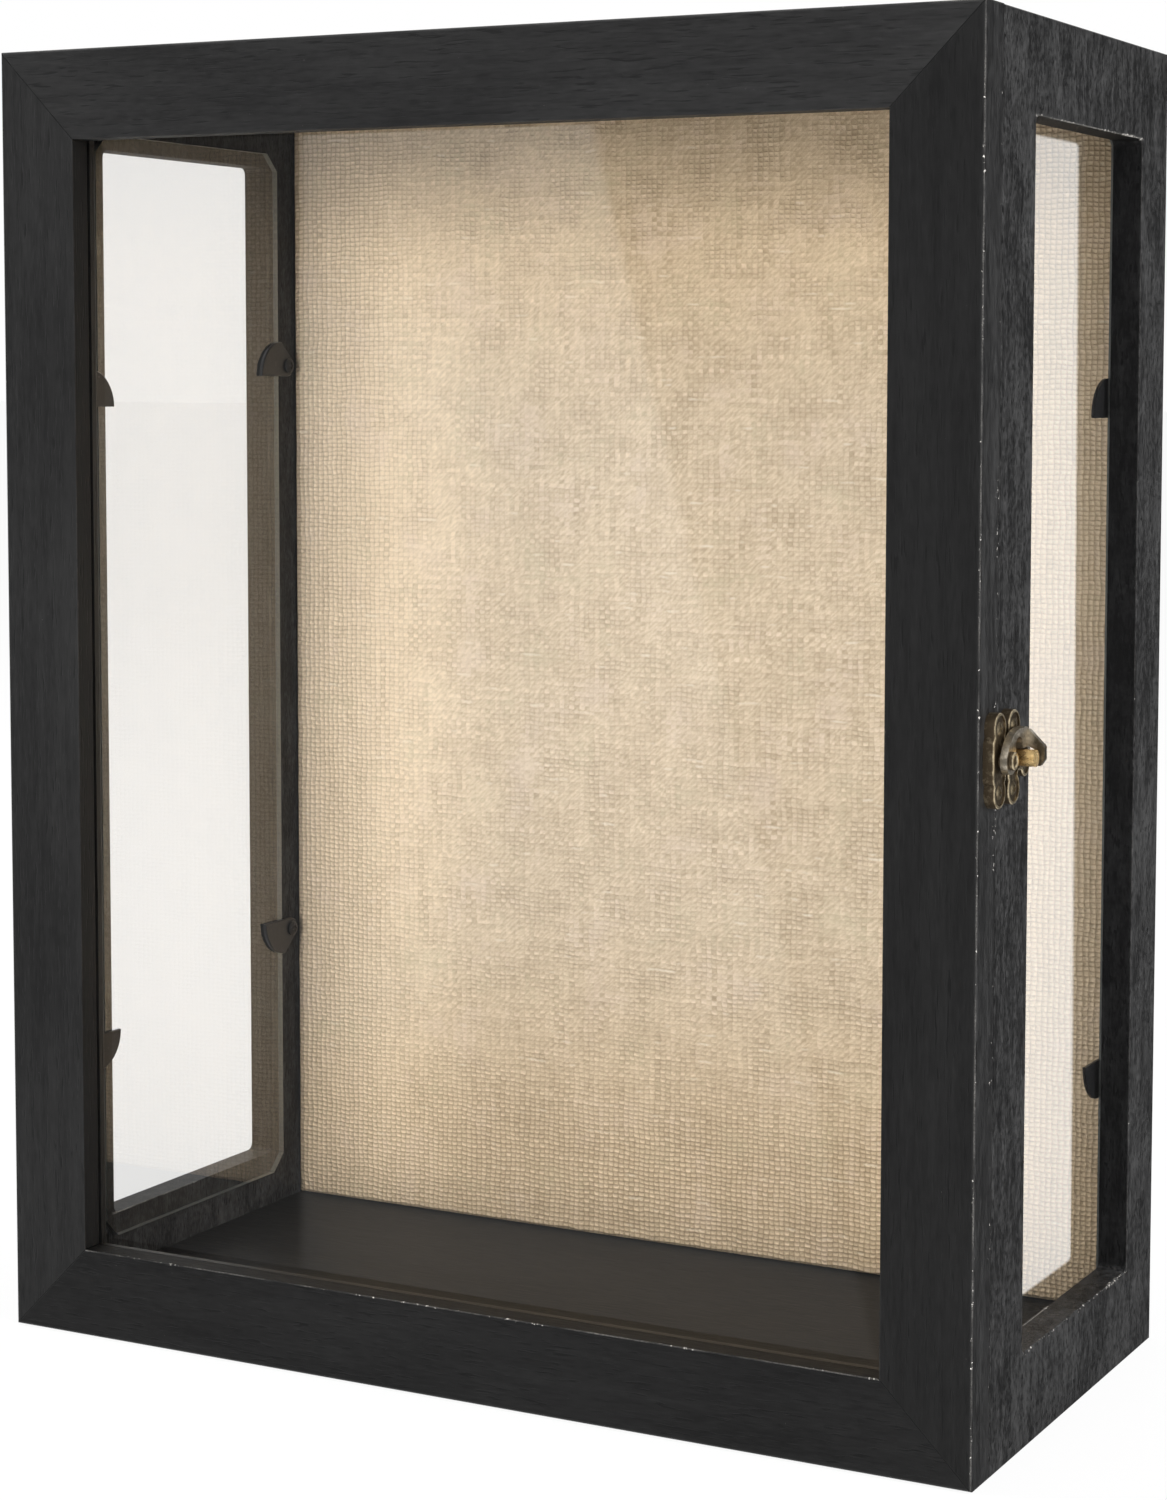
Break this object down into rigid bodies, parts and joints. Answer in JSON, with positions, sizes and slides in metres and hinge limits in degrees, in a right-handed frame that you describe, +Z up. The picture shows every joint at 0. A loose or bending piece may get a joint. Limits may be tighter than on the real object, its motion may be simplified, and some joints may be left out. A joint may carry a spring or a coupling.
{
  "type": "butterfly display case",
  "caption": "Table-top display case for mounted insects: a shallow black wooden box with glazed sides, a linen-covered pinning back and a hinged glass door held by a hook latch.",
  "frame": {"origin": "centre of the case's underside, on the surface it stands on", "axes": "+Z up, +X towards the latch side, the door faces -Y"},
  "size_m": [0.351, 0.1554, 0.4124],
  "materials": {
    "black_wood": "black satin stain, open grain, edges rubbed through in places",
    "back_panel": "thin black-stained fibreboard",
    "dowel_wood": "bare beech",
    "clear_glass": "clear sheet glass, ground edges",
    "linen": "coarse plain-weave natural linen, stretched over a board",
    "soft_board": "soft fibre pinning board",
    "antique_brass": "dark antiqued brass, rubbed bright on raised edges",
    "polished_brass": "plain turned brass",
    "clip_black": "black satin enamel",
    "dark_steel": "blackened steel"
  },
  "bodies": {
    "case": {"case_left_wall": "black_wood", "case_right_wall": "black_wood", "case_bottom": "black_wood", "case_top": "black_wood", "case_dowels": "dowel_wood", "back_board": "back_panel", "back_brads": "dark_steel", "pin_board": "soft_board", "linen_lining": "linen", "left_pane": "clear_glass", "right_pane": "clear_glass", "clip_screws": "dark_steel", "hinge_lower_case_leaf": "antique_brass", "hinge_upper_case_leaf": "antique_brass", "hinge_lower_pin": "antique_brass", "hinge_upper_pin": "antique_brass", "hinge_case_screws": "antique_brass", "latch_case_plate": "antique_brass", "latch_keeper_stud": "polished_brass", "latch_case_screws": "antique_brass"},
    "door": {"door_top_rail": "black_wood", "door_bottom_rail": "black_wood", "door_left_stile": "black_wood", "door_right_stile": "black_wood", "door_dowels": "dowel_wood", "door_glass": "clear_glass", "bead_top": "black_wood", "bead_bottom": "black_wood", "bead_left": "black_wood", "bead_right": "black_wood", "hinge_lower_door_leaf": "antique_brass", "hinge_upper_door_leaf": "antique_brass", "hinge_door_screws": "antique_brass", "latch_door_plate": "antique_brass", "latch_pivot_rivet": "antique_brass", "latch_door_screws": "antique_brass"},
    "latch_hook": {"latch_hook": "antique_brass"},
    "clip_left_front_lower": {"clip_left_front_lower": "clip_black"},
    "clip_left_front_upper": {"clip_left_front_upper": "clip_black"},
    "clip_left_rear_lower": {"clip_left_rear_lower": "clip_black"},
    "clip_left_rear_upper": {"clip_left_rear_upper": "clip_black"},
    "clip_right_front_lower": {"clip_right_front_lower": "clip_black"},
    "clip_right_front_upper": {"clip_right_front_upper": "clip_black"},
    "clip_right_rear_lower": {"clip_right_rear_lower": "clip_black"},
    "clip_right_rear_upper": {"clip_right_rear_upper": "clip_black"}
  },
  "joints": [
    {"name": "door_hinge", "type": "hinge", "parent": "case", "child": "door", "pos_m": [-0.1701, -0.0645, 0.2062], "axis": [0, 0, -1], "range_deg": [0, 195]},
    {"name": "hook_pivot", "type": "hinge", "parent": "door", "child": "latch_hook", "pos_m": [0.17285, -0.06815, 0.2052], "axis": [1, 0, 0], "range_deg": [-2, 180]},
    {"name": "clip_turn_left_front_lower", "type": "hinge", "parent": "case", "child": "clip_left_front_lower", "pos_m": [-0.1584, -0.05405, 0.088], "axis": [-1, 0, 0], "range_deg": [0, 90]},
    {"name": "clip_turn_left_front_upper", "type": "hinge", "parent": "case", "child": "clip_left_front_upper", "pos_m": [-0.1584, -0.05405, 0.3038], "axis": [1, 0, 0], "range_deg": [0, 90]},
    {"name": "clip_turn_left_rear_lower", "type": "hinge", "parent": "case", "child": "clip_left_rear_lower", "pos_m": [-0.1584, 0.06165, 0.1098], "axis": [1, 0, 0], "range_deg": [0, 90]},
    {"name": "clip_turn_left_rear_upper", "type": "hinge", "parent": "case", "child": "clip_left_rear_upper", "pos_m": [-0.1584, 0.06165, 0.3141], "axis": [-1, 0, 0], "range_deg": [0, 90]},
    {"name": "clip_turn_right_front_lower", "type": "hinge", "parent": "case", "child": "clip_right_front_lower", "pos_m": [0.1584, -0.05405, 0.088], "axis": [-1, 0, 0], "range_deg": [0, 90]},
    {"name": "clip_turn_right_front_upper", "type": "hinge", "parent": "case", "child": "clip_right_front_upper", "pos_m": [0.1584, -0.05405, 0.3038], "axis": [1, 0, 0], "range_deg": [0, 90]},
    {"name": "clip_turn_right_rear_lower", "type": "hinge", "parent": "case", "child": "clip_right_rear_lower", "pos_m": [0.1584, 0.06165, 0.0906], "axis": [1, 0, 0], "range_deg": [0, 90]},
    {"name": "clip_turn_right_rear_upper", "type": "hinge", "parent": "case", "child": "clip_right_rear_upper", "pos_m": [0.1584, 0.06165, 0.3022], "axis": [-1, 0, 0], "range_deg": [0, 90]}
  ]
}
